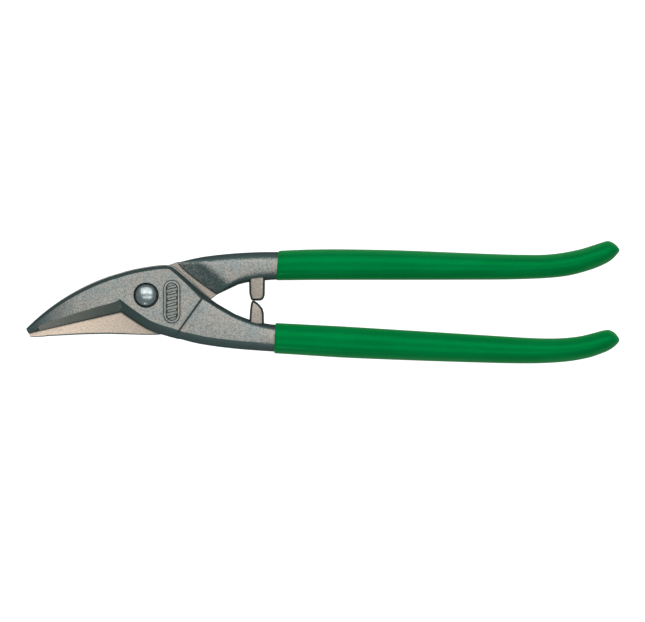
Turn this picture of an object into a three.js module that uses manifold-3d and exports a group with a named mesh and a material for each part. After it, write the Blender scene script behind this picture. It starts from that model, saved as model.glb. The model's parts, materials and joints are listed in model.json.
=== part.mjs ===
// Hole-cutting tin snips: two crossed forged levers on one keyed pivot bolt, with dip-coated handles.
// Millimetres. X runs from the jaws to the handle ends, Y across the handles, Z up off the bench.
// The origin is on the pivot axis, where the end of the pivot bolt stands on the bench.
import * as THREE from "three";
import { mergeVertices } from "three/addons/utils/BufferGeometryUtils.js";
import Module from "manifold-3d";

const wasm = await Module();
wasm.setup();

// ---------- driving dimensions ----------

const JOINT_Z = 11.4; // the plane where the two blades slide on each other
const BLADE_THICKNESS = 5.6; // each lever at the joint
const SLIDE_GAP = 0.15; // each ground face, from the joint plane
const HANDLE_HALF = 4.9; // half the thickness of the bare steel handle
const HANDLE_ROUND = 3.6; // rounding of the bare steel handle
const BLADE_ROUND = 1.3; // rounding of the blade's outer edges
const FACET_WIDTH = 4.7; // the ground facet, from the cutting edge to the outer face
const RAMP = 9; // the inner step rises to the full handle over this length
const LUG_HALF = 3.2; // half the thickness of the closing stops
const LUG_ROUND = 0.5;
const TIP_TAPER_START = -34; // the jaws thin from here to the nose
const TIP_TAPER_DROP = 3.3; // over TIP_TAPER_LENGTH
const TIP_TAPER_LENGTH = 21;

const COAT = 1.0; // wall of the dipped grip
const COAT_GAP = 0.3; // between the grip and its tang
const GRIP_HALF = 5.75; // half the thickness over the grip
const GRIP_ROUND = 3.6;

const SHANK_R = 3.95; // the pivot bolt's shank
const SHANK_FLAT = 3.2; // the key flat, from the bolt's axis
const RUNNING_GAP = 0.08; // radial, shank to lever
const THREAD_R = 3.0;
const THREAD_CHAMFER = 0.6;
const HEAD_R = 5.0;
const HEAD_HEIGHT = 3.1;
const HEAD_RIM = 0.8; // the straight side of the head, below its dome
const SEAT_R = 5.6; // the recess round the domed head
const SEAT_DEPTH = 0.8;
const BACK_SEAT_R = 7.2; // the spot face under the spring washer
const BACK_SEAT_DEPTH = 0.6;
const FACE_GAP = 0.05; // between faces that bear on each other
const WASHER_R = 6.4;
const WASHER_HOLE_R = 3.25;
const WASHER_THICKNESS = 0.7;
const WASHER_CONE = 0.3;
const NUT_ACROSS_FLATS = 10;
const NUT_HEIGHT = 4.6;
const NUT_CHAMFER = 0.5;
const NUT_HOLE_R = 3.1;
const RING_R = 4.2; // the nylon ring in the end of the nut
const RING_HOLE_R = 3.05;
const RING_HEIGHT = 1.4;
const RING_SUNK = 0.2; // its end, inside the nut's end
const FAR = 100; // larger than the tool is wide
const TALL = 20; // larger than the tool is thick

// ---------- outlines of the front lever: upper jaw and lower handle ----------

const FRONT = {
  outward: 1, // its outer face points up
  nose: [[-54.6, -17.7], [-55.5, -15.8]],
  notch: [-11.9, -7.9], // where the cutting edge ends
  flank: [[-7, -11.3], [-0.6, -15.4], [4.2, -17.5], [8.4, -18.7], [13.2, -20.0]],
  shoulder: [[17.2, 9.45], [21.5, 5.6]], // the boss bulges here
  boss: [27.6, 0.2], // the upper end of the raised boss
  step: [[14.4, -19.1], [32.5, -4.4]],
  handle: [
    [[9, 4], [14.5, 10.0], [22.1, 4.1], [29.9, -2.0], [35.1, -5.5], [41, -8.6], [47.3, -11.1]],
    [[53.8, -12.8], [59.2, -13.5], [66, -13.8], [66, -26.2], [57.3, -26.0], [46.2, -25.2]],
    [[35.1, -24.0], [26.8, -22.9], [18.4, -21.3], [11.0, -19.3]],
  ],
  lug: [[47.4, -16], [48.0, -4.9], [48.5, -3.3], [49.3, -2.8], [50.8, -3.3], [52.6, -4.75], [53.75, -6.2],
    [54.3, -8.2], [54.45, -16]],
};

// ---------- outlines of the rear lever: lower jaw and upper handle ----------

const REAR = {
  outward: -1,
  nose: [[-54.8, -16.9], [-54.0, -19.3]],
  notch: [-12.5, -5.0],
  flank: [[-8.2, -0.9], [-3, 4.3], [2.6, 9.2], [8.2, 13.0], [13.0, 15.1]],
  back: [[-51, -19.35], [-41.5, -18.6], [-31.6, -18.1], [-20, -17.8], [-8, -18.0], [3.6, -18.3]],
  boss: [27.5, -3.9],
  step: [[32.5, 0.35], [14.4, 15.1]],
  handle: [
    [[10, -8], [21, -9.0], [29.9, -2.0], [32.3, -0.05], [36.9, 3.0], [42.3, 4.9], [47.3, 6.1]],
    [[53.8, 6.8], [59.6, 7.1], [66, 7.1], [66, 20.1], [57.3, 20.0], [46.2, 19.8], [37.9, 19.2]],
    [[29.5, 18.3], [21.2, 17.1], [13.2, 15.15]],
  ],
  lug: [[47.4, 10], [47.6, -0.2], [48.6, -1.9], [49.6, -2.4], [52.8, -2.4], [54.2, -1.4], [54.7, 0.3],
    [54.75, 10]],
};

// The grips in plan, from the mouth along the outer edge, round the end and back. The tangs follow them.
const UPPER_GRIP = {
  start: [50, 20.3],
  top: [[61, 20.7], [75, 21.2], [92, 21.3], [117.5, 20.8], [145.3, 19.7], [173.1, 18.8], [184, 18.75],
    [192, 19.6], [200.8, 21.35], [208.2, 23.7], [213.2, 25.3]],
  tip: [218.9, 20.8],
  bottom: [[213.2, 15.0], [208.2, 12.6], [200.8, 10.2], [191.6, 8.4], [182.3, 7.6], [160, 7.2], [100, 7.1],
    [50, 6.9]],
  mouth: [[61.1, 20.6], [59.9, 6.9]],
};
const LOWER_GRIP = {
  start: [50, -12.5],
  top: [[62, -12.9], [80, -13.8], [99, -14.8], [126.8, -16.6], [154.5, -18.4], [182.3, -19.8],
    [191.6, -19.9], [200.8, -18.9], [208.2, -17.1], [213.2, -15.9]],
  tip: [218.9, -20.7],
  bottom: [[213.8, -25.6], [208.2, -27.9], [200.8, -29.8], [191.6, -31.0], [173.1, -31.6], [145.3, -30.9],
    [108.2, -29.6], [80.5, -28.3], [61.9, -26.9], [50, -26.2]],
  mouth: [[59.6, -12.8], [59.0, -26.9]],
};

// ---------- helpers ----------

const vectors = (points) => points.map(([x, y]) => new THREE.Vector2(x, y));

// A three.js geometry as a solid that can be joined and cut.
function solid(geometry) {
  const bare = geometry.clone();
  bare.deleteAttribute("normal");
  bare.deleteAttribute("uv");
  const merged = mergeVertices(bare, 1e-4);
  const mesh = new wasm.Mesh({
    numProp: 3,
    vertProperties: merged.attributes.position.array,
    triVerts: new Uint32Array(merged.index.array),
  });
  return new wasm.Manifold(mesh);
}

// A plan outline given thickness from z = low to z = high, with rounded or chamfered rims.
function slab(shape, low, high, { round = 0, rise = round, inset = 0, segments = 3, curve = 3 } = {}) {
  const geometry = new THREE.ExtrudeGeometry(shape, {
    depth: high - low - 2 * rise,
    curveSegments: curve,
    bevelEnabled: round > 0 || inset > 0,
    bevelSize: round,
    bevelThickness: rise,
    bevelOffset: -round - inset,
    bevelSegments: segments,
  });
  return solid(geometry.translate(0, 0, low + rise));
}

function polygon(points) {
  return new THREE.Shape(vectors(points));
}

// Removes everything on one side of the line from a to b in plan, between two heights.
function planCutter([a, b], side, low, high) {
  const along = new THREE.Vector2(b[0] - a[0], b[1] - a[1]).normalize();
  const across = new THREE.Vector2(-along.y, along.x).multiplyScalar(side * FAR);
  const p = new THREE.Vector2(...a).addScaledVector(along, -FAR);
  const q = new THREE.Vector2(...b).addScaledVector(along, FAR);
  return slab(new THREE.Shape([p, q, q.clone().add(across), p.clone().add(across)]), low, high);
}

function cylinder(radius, low, high, sides = 40) {
  const geometry = new THREE.CylinderGeometry(radius, radius, high - low, sides);
  return solid(geometry.rotateX(Math.PI / 2).translate(0, 0, (low + high) / 2));
}

// A piece turned about the pivot axis. Its profile lists [radius, z] and runs up the outside.
function turned(profile, sides = 40) {
  return solid(new THREE.LatheGeometry(vectors(profile), sides).rotateX(Math.PI / 2));
}

function part(name, made, colour, roughness, metalness) {
  const raw = made.getMesh();
  const geometry = new THREE.BufferGeometry();
  geometry.setAttribute("position", new THREE.BufferAttribute(raw.vertProperties, 3));
  geometry.setIndex(new THREE.BufferAttribute(raw.triVerts, 1));
  const flat = geometry.toNonIndexed();
  flat.computeVertexNormals();
  const material = new THREE.MeshStandardMaterial({ color: colour, roughness, metalness });
  const mesh = new THREE.Mesh(flat, material);
  mesh.name = name;
  mesh.position.z = JOINT_Z;
  return mesh;
}

// From here on z = 0 is the joint plane. The finished parts are raised to JOINT_Z.

// ---------- the forged levers ----------

// The blade and boss in plan: jaw, nose, back of the jaw, boss, flank and notch.
function frontBladeOutline() {
  const [edgeTip, noseTop] = FRONT.nose;
  const backCentre = [15.4, -85.3]; // the back of the upper jaw is one arc
  const backRadius = 99.7;
  const noseAngle = Math.atan2(noseTop[1] - backCentre[1], noseTop[0] - backCentre[0]);
  const crownAngle = THREE.MathUtils.degToRad(94.7);
  const shape = new THREE.Shape();
  shape.moveTo(...FRONT.notch);
  shape.lineTo(...edgeTip);
  shape.lineTo(...noseTop);
  shape.absarc(...backCentre, backRadius, noseAngle, crownAngle, true);
  shape.quadraticCurveTo(11.0, 13.95, 13.0, 12.8);
  for (const point of FRONT.shoulder) shape.lineTo(...point);
  shape.lineTo(...FRONT.boss);
  shape.lineTo(...FRONT.flank.at(-1));
  shape.splineThru(vectors(FRONT.flank.slice(0, -1).reverse()));
  return shape;
}

function rearBladeOutline() {
  const [edgeTip, noseBottom] = REAR.nose;
  const shape = new THREE.Shape();
  shape.moveTo(...REAR.notch);
  shape.lineTo(...edgeTip);
  shape.lineTo(...noseBottom);
  shape.splineThru(vectors(REAR.back));
  shape.quadraticCurveTo(9.3, -18.4, 12.5, -15.8);
  shape.lineTo(...REAR.boss);
  shape.lineTo(...REAR.flank.at(-1));
  shape.splineThru(vectors(REAR.flank.slice(0, -1).reverse()));
  return shape;
}

// Holds only the cutting edge and the flank of the blade; its other sides lie far outside.
// Its rim is the wide ground facet, so meeting it with the blade grinds those two sides and no others.
function facetEnvelope(lever) {
  const [edgeTip] = lever.nose;
  const end = lever.flank.at(-1);
  const slope = (lever.notch[1] - edgeTip[1]) / (lever.notch[0] - edgeTip[0]);
  const margin = 30; // how far it passes the nose
  const clear = 12; // how far it passes the end of the flank
  const shape = new THREE.Shape();
  shape.moveTo(...lever.notch);
  shape.lineTo(edgeTip[0] - margin, edgeTip[1] - margin * slope);
  shape.lineTo(edgeTip[0] - margin, lever.outward * FAR);
  shape.lineTo(FAR, lever.outward * FAR);
  shape.lineTo(FAR, end[1] - lever.outward * clear);
  shape.lineTo(...end);
  shape.splineThru(vectors(lever.flank.slice(0, -1).reverse()));
  const top = BLADE_THICKNESS + 0.2;
  const edgeHeight = 0.3; // the narrow land left along the cutting edge
  return slab(shape, -top, top, { round: FACET_WIDTH, rise: top - edgeHeight, segments: 1 });
}

// The sloping cut that thins the jaw towards its nose.
function tipTaper(outward) {
  const run = 30; // it passes the nose
  const profile = polygon([
    [0, BLADE_THICKNESS],
    [-run, BLADE_THICKNESS - (TIP_TAPER_DROP * run) / TIP_TAPER_LENGTH],
    [-run, TALL],
    [0, TALL],
  ]);
  const geometry = new THREE.ExtrudeGeometry(profile, { depth: 2 * FAR, bevelEnabled: false });
  geometry.rotateX(Math.PI / 2).translate(TIP_TAPER_START, FAR, 0);
  if (outward < 0) geometry.rotateX(Math.PI);
  return solid(geometry);
}

// Clears the inner side for the other lever's boss: flat up to the step, then a curved ramp.
function stepCutter({ outward, step }) {
  const [a, b] = vectors(step);
  const along = b.clone().sub(a).normalize();
  const towardsHandle = new THREE.Vector3(along.y, -along.x, 0);
  const inward = new THREE.Vector3(0, 0, -outward);
  const third = towardsHandle.clone().cross(inward);
  const depth = HANDLE_HALF + 0.05;
  const profile = new THREE.Shape();
  profile.moveTo(-FAR, -SLIDE_GAP);
  profile.lineTo(0, -SLIDE_GAP);
  profile.absellipse(RAMP, -SLIDE_GAP, RAMP, depth + SLIDE_GAP, Math.PI, Math.PI / 2, true);
  profile.lineTo(RAMP, TALL);
  profile.lineTo(-FAR, TALL);
  const options = { depth: FAR, bevelEnabled: false, curveSegments: 8 };
  const geometry = new THREE.ExtrudeGeometry(profile, options);
  geometry.translate(0, 0, -FAR / 2);
  const turn = new THREE.Matrix4().makeBasis(towardsHandle, inward, third);
  return solid(geometry.applyMatrix4(turn).translate((a.x + b.x) / 2, (a.y + b.y) / 2, 0));
}

// The grip in plan. The tang and the hollow of the grip are the same outline, drawn in by their inset.
function handleOutline(grip) {
  const shape = new THREE.Shape();
  shape.moveTo(...grip.start);
  shape.splineThru(vectors(grip.top));
  shape.lineTo(...grip.tip);
  shape.lineTo(...grip.bottom[0]);
  shape.splineThru(vectors(grip.bottom.slice(1)));
  return shape;
}

function handleSlab(grip, inset) {
  const half = GRIP_HALF - inset;
  return slab(handleOutline(grip), -half, half, { round: GRIP_ROUND - inset, inset, curve: 2 });
}

function forgedLever(lever, bladeOutline, grip) {
  const { outward } = lever;
  const everywhere = polygon([[-FAR, -FAR], [FAR, -FAR], [FAR, FAR], [-FAR, FAR]]);
  const otherSide = outward > 0 ? [-TALL, SLIDE_GAP] : [-SLIDE_GAP, TALL];
  const bladeRim = { round: BLADE_ROUND, segments: 2, curve: 4 };
  const blade = slab(bladeOutline, -BLADE_THICKNESS, BLADE_THICKNESS, bladeRim)
    .intersect(facetEnvelope(lever))
    .subtract(tipTaper(outward))
    .subtract(slab(everywhere, ...otherSide));
  const steel = slab(polygon(lever.handle.flat()), -HANDLE_HALF, HANDLE_HALF, { round: HANDLE_ROUND });
  const mouth = grip.mouth.map(([x, y]) => [x - COAT_GAP, y]);
  const handle = steel
    .subtract(planCutter(mouth, 1, -TALL, TALL))
    .subtract(stepCutter(lever));
  const tang = handleSlab(grip, COAT + COAT_GAP);
  const lug = slab(polygon(lever.lug), -LUG_HALF, LUG_HALF, { round: LUG_ROUND, segments: 1 });
  return blade.add(handle).add(tang).add(lug);
}

// A blank raised cartouche beside the pivot: a rim with slanting bars inside it.
function cartouche() {
  const [x, y] = [11.9, -3.0];
  const [halfWidth, halfLength] = [3.2, 6.6];
  const rim = 0.7;
  const barPitch = 2.1;
  const bar = [[-1.9, -0.9], [1.9, 0.1], [1.9, 0.9], [-1.9, -0.1]];
  const low = BLADE_THICKNESS - 0.3;
  const high = BLADE_THICKNESS + 0.35;
  const capsule = (radius, bottom, top) => {
    const shape = new THREE.Shape();
    shape.absarc(x, y + halfLength, radius, 0, Math.PI, false);
    shape.absarc(x, y - halfLength, radius, Math.PI, 2 * Math.PI, false);
    return slab(shape, bottom, top, { curve: 8 });
  };
  let made = capsule(halfWidth, low, high).subtract(capsule(halfWidth - rim, low - 1, high + 1));
  for (let i = -3; i <= 3; i += 1) {
    made = made.add(slab(polygon(bar.map(([u, v]) => [x + u, y + v + barPitch * i])), low, high));
  }
  return made;
}

// The keyed hole: round, with one flat that stops the bolt from turning in the front lever.
function keyedShaft(radius, flat, low, high) {
  return cylinder(radius, low, high).subtract(planCutter([[flat, -1], [flat, 1]], -1, low - 1, high + 1));
}

const HOLE_R = SHANK_R + RUNNING_GAP;
const frontLever = forgedLever(FRONT, frontBladeOutline(), LOWER_GRIP)
  .subtract(keyedShaft(HOLE_R, SHANK_FLAT + RUNNING_GAP, -1, BLADE_THICKNESS + 1))
  .subtract(cylinder(SEAT_R, BLADE_THICKNESS - SEAT_DEPTH, BLADE_THICKNESS + 1))
  .add(cartouche());
const rearLever = forgedLever(REAR, rearBladeOutline(), UPPER_GRIP)
  .subtract(cylinder(HOLE_R, -BLADE_THICKNESS - 1, 1))
  .subtract(cylinder(BACK_SEAT_R, -BLADE_THICKNESS - 1, -BLADE_THICKNESS + BACK_SEAT_DEPTH));

// ---------- the pivot ----------

const HEAD_SEAT_Z = BLADE_THICKNESS - SEAT_DEPTH + FACE_GAP;
const BACK_SEAT_Z = -BLADE_THICKNESS + BACK_SEAT_DEPTH;
const SHOULDER_Z = BACK_SEAT_Z + 0.3; // the shank stops short, so that the nut pulls on the lever
const WASHER_TOP = BACK_SEAT_Z - FACE_GAP;
const NUT_TOP = WASHER_TOP - WASHER_THICKNESS - WASHER_CONE - FACE_GAP;
const NUT_END = NUT_TOP - NUT_HEIGHT;
const RING_TOP = NUT_END + RING_HEIGHT;

function pivotBolt() {
  const rise = HEAD_HEIGHT - HEAD_RIM;
  const domeRadius = (HEAD_R ** 2 + rise ** 2) / (2 * rise);
  const domeCentre = HEAD_SEAT_Z + HEAD_HEIGHT - domeRadius;
  const domeSteps = 6;
  const dome = [];
  for (let i = 0; i <= domeSteps; i += 1) {
    const r = HEAD_R * (1 - i / domeSteps);
    dome.push([r, domeCentre + Math.sqrt(domeRadius ** 2 - r ** 2)]);
  }
  const stem = [
    [0, -JOINT_Z], [THREAD_R - THREAD_CHAMFER, -JOINT_Z], [THREAD_R, -JOINT_Z + THREAD_CHAMFER],
    [THREAD_R, SHOULDER_Z], [SHANK_R, SHOULDER_Z], [SHANK_R, HEAD_SEAT_Z], [HEAD_R, HEAD_SEAT_Z],
  ];
  const key = planCutter([[SHANK_FLAT, -1], [SHANK_FLAT, 1]], -1, SLIDE_GAP, HEAD_SEAT_Z);
  return turned([...stem, ...dome]).subtract(key);
}

// A dished washer: its middle stands lower than its rim.
function springWasher() {
  const low = WASHER_TOP - WASHER_THICKNESS;
  return turned([
    [WASHER_HOLE_R, low - WASHER_CONE], [WASHER_R, low], [WASHER_R, WASHER_TOP],
    [WASHER_HOLE_R, WASHER_TOP - WASHER_CONE], [WASHER_HOLE_R, low - WASHER_CONE],
  ]);
}

function lockNut() {
  const corner = NUT_ACROSS_FLATS / Math.sqrt(3);
  const face = corner - 2 * NUT_CHAMFER;
  const hexagon = cylinder(corner, NUT_END, NUT_TOP, 6);
  const chamfered = turned([
    [0, NUT_END], [face, NUT_END], [corner, NUT_END + NUT_CHAMFER],
    [corner, NUT_TOP - NUT_CHAMFER], [face, NUT_TOP], [0, NUT_TOP],
  ], 48);
  return hexagon
    .intersect(chamfered)
    .subtract(cylinder(NUT_HOLE_R, NUT_END - 1, NUT_TOP + 1))
    .subtract(cylinder(RING_R, NUT_END - 1, RING_TOP + FACE_GAP));
}

function lockingRing() {
  return cylinder(RING_R - FACE_GAP, NUT_END + RING_SUNK, RING_TOP)
    .subtract(cylinder(RING_HOLE_R, NUT_END - 1, RING_TOP + 1));
}

// ---------- the grips ----------

function dippedGrip(grip) {
  return handleSlab(grip, 0)
    .subtract(planCutter(grip.mouth, -1, -TALL, TALL))
    .subtract(handleSlab(grip, COAT));
}

// ---------- the assembly ----------

const FORGED_STEEL = 0x8f918d;
const PLATED_STEEL = 0xb4bcc0;
const GREEN_COAT = 0x00783a;
const BLUE_NYLON = 0x2456a8;

// The two halves of the tool, each of which turns as one body about the pivot.
const frontHalf = new THREE.Group();
frontHalf.add(
  part("front_lever", frontLever, FORGED_STEEL, 0.5, 0.8),
  part("lower_grip", dippedGrip(LOWER_GRIP), GREEN_COAT, 0.4, 0),
  part("pivot_bolt", pivotBolt(), PLATED_STEEL, 0.3, 0.9),
  part("spring_washer", springWasher(), PLATED_STEEL, 0.35, 0.9),
  part("lock_nut", lockNut(), PLATED_STEEL, 0.35, 0.9),
  part("nut_locking_ring", lockingRing(), BLUE_NYLON, 0.5, 0),
);

const rearHalf = new THREE.Group();
rearHalf.add(
  part("rear_lever", rearLever, FORGED_STEEL, 0.5, 0.8),
  part("upper_grip", dippedGrip(UPPER_GRIP), GREEN_COAT, 0.4, 0),
);

const snips = new THREE.Group();
snips.add(frontHalf, rearHalf);

export default snips;
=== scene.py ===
# Hole-cutting tin snips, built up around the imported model: two forged levers, their pivot and their grips.
# Metres. X runs from the jaws to the handle ends, Y across the handles, Z up through the pivot bolt.
import json
import math

import bmesh
import bpy
from mathutils import Matrix, Vector


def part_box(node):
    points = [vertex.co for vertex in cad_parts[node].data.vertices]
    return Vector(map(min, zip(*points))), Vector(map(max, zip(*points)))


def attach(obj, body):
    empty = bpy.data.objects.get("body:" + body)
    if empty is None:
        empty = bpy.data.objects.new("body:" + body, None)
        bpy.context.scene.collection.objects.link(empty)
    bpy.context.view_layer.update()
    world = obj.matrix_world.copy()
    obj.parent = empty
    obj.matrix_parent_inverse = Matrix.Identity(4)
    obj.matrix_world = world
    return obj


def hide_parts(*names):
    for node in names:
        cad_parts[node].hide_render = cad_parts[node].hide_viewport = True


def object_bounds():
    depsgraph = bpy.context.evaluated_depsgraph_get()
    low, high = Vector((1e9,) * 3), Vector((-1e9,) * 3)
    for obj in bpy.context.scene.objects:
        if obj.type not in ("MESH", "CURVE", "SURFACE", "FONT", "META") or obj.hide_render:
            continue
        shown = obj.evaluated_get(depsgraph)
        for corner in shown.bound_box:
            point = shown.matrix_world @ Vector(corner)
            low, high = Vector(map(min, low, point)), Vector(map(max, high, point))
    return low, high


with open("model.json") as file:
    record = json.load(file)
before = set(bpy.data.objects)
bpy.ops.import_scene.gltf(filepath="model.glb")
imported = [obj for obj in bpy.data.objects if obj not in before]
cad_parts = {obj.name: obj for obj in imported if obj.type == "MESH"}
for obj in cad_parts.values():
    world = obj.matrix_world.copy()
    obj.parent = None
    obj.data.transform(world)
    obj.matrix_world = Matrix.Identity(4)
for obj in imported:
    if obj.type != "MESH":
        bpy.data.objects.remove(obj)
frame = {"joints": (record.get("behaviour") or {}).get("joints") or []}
cad_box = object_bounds()


# ---------- front lever ----------
# The upper jaw and the lower handle, drop-forged in one piece from tool steel and shot-blasted to grey.
# Its inner face and its cutting edge are ground. The stop lug and the blank cartouche are forged on.

MM = 0.001
PIVOT = Vector(frame["joints"][0]["pos_m"])  # on the pivot axis, in the plane where the blades slide
BLADE = 5.6  # millimetres from the joint plane to the outer face of a blade
GROUND = 0.15  # the ground face, from the joint plane
BAR = 4.9  # half the thickness of the bare handle
STEP_RISE = 0.7  # the boss stands this much proud of the handle
COAT = 1.0  # the wall of the dipped grip
CORNERS = 8  # points round each long edge of a bar

# How an edge turns from the side of a forging (0, 0) to its face (1, 1).
FACET = [(0, 0), (0, 0.03)] + [(0.09 + 0.91 * i / 6, 0.19 + 0.81 * i / 6) for i in range(CORNERS - 1)]
QUARTER = [math.pi / 2 * i / CORNERS for i in range(CORNERS + 1)]
ROUND = [(1 - math.cos(a), math.sin(a)) for a in QUARTER]
WALL = [(0, 0.09), (0.22, 0.11), (0.32, 0.2), (0.42, 0.36), (0.53, 0.55), (0.65, 0.74), (0.77, 0.88),
        (0.89, 0.965), (1, 1)]
UNDER_WALL = [(0.1 + 0.9 * d, z) for d, z in WALL]  # the ground face stops short of the side
FACE_STEPS = 6  # spans across a flat face


def smooth_run(keys, spans):
    """Lays evenly blended rows of numbers through the key rows of one stretch."""
    reach = [0.0]
    for a, b in zip(keys, keys[1:]):
        reach.append(reach[-1] + math.dist(a[0:2], b[0:2]) + math.dist(a[2:4], b[2:4]))
    rows = [keys[0]]
    for i in range(len(keys) - 1):
        a, b = max(i - 1, 0), min(i + 2, len(keys) - 1)
        span = reach[i + 1] - reach[i]
        start = span / (reach[i + 1] - reach[a])
        end = span / (reach[b] - reach[i])
        for k in range(1, spans + 1):
            t = k / spans
            h = (2 * t**3 - 3 * t**2 + 1, t**3 - 2 * t**2 + t, 3 * t**2 - 2 * t**3, t**3 - t**2)
            rows.append(tuple(
                h[0] * p + h[1] * start * (q - before) + h[2] * q + h[3] * end * (after - p)
                for before, p, q, after in zip(keys[a], keys[i], keys[i + 1], keys[b])
            ))
    return rows


def section(row, before, after, outward, inset=0.0):
    """The corners of one cross-section: over the outer face from edge to back, then under the inner face.

    A row gives the edge and the back in plan, the heights of the outer and inner faces, the widths of the bands
    that roll over at edge and back, how round each band is from 0 to 1, and the crown of the face between them.
    """
    edge, back = Vector(row[0:2]), Vector(row[2:4])
    outer, inner, edge_band, back_band, edge_round, back_round, crown = row[4:]
    across = (back - edge).normalized()
    most_slanted = 0.6

    def square(a, b):
        along = (Vector(b) - Vector(a)).normalized()
        return 1 / max(abs(along.cross(across)), most_slanted)

    edge_slant = square(before[0:2], after[0:2])
    back_slant = square(before[2:4], after[2:4])
    edge += across * inset * edge_slant
    back -= across * inset * back_slant
    base = GROUND if inner == 0 else 0.0

    def bands(height, edge_kind, back_kind, swell, narrow):
        top = height - math.copysign(swell, height)
        line = []
        for i in range(CORNERS + 1):
            d, z = (edge_kind[i][k] * (1 - edge_round) + ROUND[i][k] * edge_round for k in (0, 1))
            line.append((edge + across * d * edge_band * narrow * edge_slant, base + (top - base) * z))
        other = []
        for i in range(CORNERS + 1):
            d, z = (back_kind[i][k] * (1 - back_round) + ROUND[i][k] * back_round for k in (0, 1))
            other.append((back - across * d * back_band * narrow * back_slant, base + (top - base) * z))
        first, last = line[-1][0], other[-1][0]
        line += [(first.lerp(last, i / FACE_STEPS), top) for i in range(1, FACE_STEPS)]
        full = []
        for spot, z in line + other[::-1]:
            t = (spot - edge).length / max((back - edge).length, 1e-6)
            full.append((spot, z + (height - top) * 4 * t * (1 - t) * (z - base) / (top - base)))
        return full

    over = bands(outer - inset, FACET, WALL, crown, 1.0)
    if inner == 0:
        under = [(corner[0], base) for corner in bands(outer, FACET, UNDER_WALL, 0, 1.0)]
    else:
        shallow = 0.4 + 0.6 * min(1, inner / BAR)  # the bands widen as the bar swells
        under = bands(-(inner - inset), ROUND, ROUND, crown, shallow)
    ring = over + under[-2:0:-1]
    return [Vector((p.x, p.y, z * outward)) for p, z in ring]


def draw_out(bm, ring, corners):
    """Extrudes an end ring and lays its new corners on the next section."""
    edges = [bm.edges.get((a, b)) for a, b in zip(ring, ring[1:] + ring[:1])]
    made = bmesh.ops.extrude_edge_only(bm, edges=edges)["geom"]
    fresh = {g for g in made if isinstance(g, bmesh.types.BMVert)}
    ahead = [next(e.other_vert(v) for e in v.link_edges if e.other_vert(v) in fresh) for v in ring]
    for v, co in zip(ahead, corners):
        v.co = co
    return ahead


def forge_bar(rings):
    """A closed bar drawn out through its rings, each the same number of corners."""
    bm = bmesh.new()
    start = bmesh.ops.create_circle(bm, cap_ends=False, segments=len(rings[0]), radius=1)["verts"]
    for v, co in zip(start, rings[0]):
        v.co = co
    ring = start
    for corners in rings[1:]:
        ring = draw_out(bm, ring, corners)
    bm.faces.new(start)
    bm.faces.new(ring)
    bmesh.ops.recalc_face_normals(bm, faces=bm.faces)
    return bm


def sections_of(rows, outward, inset=0.0):
    before = rows[:1] + rows[:-1]
    after = rows[1:] + rows[-1:]
    return [section(*three, outward, inset) for three in zip(rows, before, after)]


def jaw_height(x):
    """A jaw thins more and more from its heel to its nose."""
    heel, nose, thinned = -16, -55, 3.6
    return BLADE - thinned * max(0, (heel - x) / (heel - nose)) ** 1.6


def jaw_row(edge, back):
    """One row of a jaw, with the facet behind the cutting edge running out short of the nose."""
    high = jaw_height((edge[0] + back[0]) / 2)
    share = high / BLADE
    width = math.dist(edge, back)
    facet_width, run_out, fade = 5.1, -51.5, 4
    facet = facet_width * share * min(1, max(0.05, (edge[0] - run_out) / fade)) ** 0.5
    return (*edge, *back, high, 0, min(facet, 0.5 * width), min(1.2 + 1.0 * share, 0.4 * width), 0, 0, 0)


FRONT_NOSE, FRONT_NOTCH = Vector((-54.6, -17.7)), Vector((-11.9, -7.9))
BACK_CENTRE, BACK_RADIUS = Vector((15.4, -85.3)), 99.7  # the back of the upper jaw is one arc
BACK_START, BACK_SWEEP = 135.6, 26.6  # degrees, from the nose round to the heel


def on_back(degrees):
    a = math.radians(degrees)
    return BACK_CENTRE + BACK_RADIUS * Vector((math.cos(a), math.sin(a)))


shares = [i / 48 for i in range(12)] + [i / 16 for i in range(4, 17)]  # closer together towards the nose
front_jaw = [
    jaw_row(FRONT_NOSE.lerp(FRONT_NOTCH, t), on_back(BACK_START - BACK_SWEEP * t)) for t in shares
]
front_boss = smooth_run([
    front_jaw[-1],
    (-7, -11.2, *on_back(103), BLADE, 0, 4.6, 2.15, 0.1, 0, 0),
    (-0.6, -15.2, *on_back(98), BLADE, 0, 4.4, 2.1, 0.2, 0, 0),
    (4.2, -17.3, *on_back(94.7), BLADE, 0, 4.3, 2.05, 0.3, 0, 0),
    (6.3, -18.0, 10.6, 13.9, BLADE, 0, 4.3, 1.9, 0.35, 0, 0),
    (8.0, -18.5, 12.9, 12.8, BLADE, 0, 4.3, 2.1, 0.4, 0, 0),
    (9.6, -18.95, 17.2, 9.45, BLADE, 0, 4.3, 2.3, 0.45, 0, 0),
    (11.0, -19.4, 21.5, 5.6, BLADE, 0, 4.3, 2.5, 0.45, 0.1, 0),
    (12.3, -19.7, 26.6, 0.8, BLADE, 0, 4.1, 2.7, 0.4, 0.2, 0),
], 4)


def step_rows(a, b):
    """The outer step between boss and handle: a rolled edge, a wall, and the shallow valley at its foot."""
    falls = [(0.0, 0.0), (0.08, 0.1), (0.18, 0.42), (0.3, 0.92), (0.42, 1.26), (0.53, 1.32), (0.68, 1.2),
             (0.84, 1.06), (1.0, 1.0)]
    rows = []
    for t, fall in falls:
        row = [p + (q - p) * t for p, q in zip(a, b)]
        row[4] = BLADE - STEP_RISE * fall
        rows.append(tuple(row))
    return rows


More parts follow.
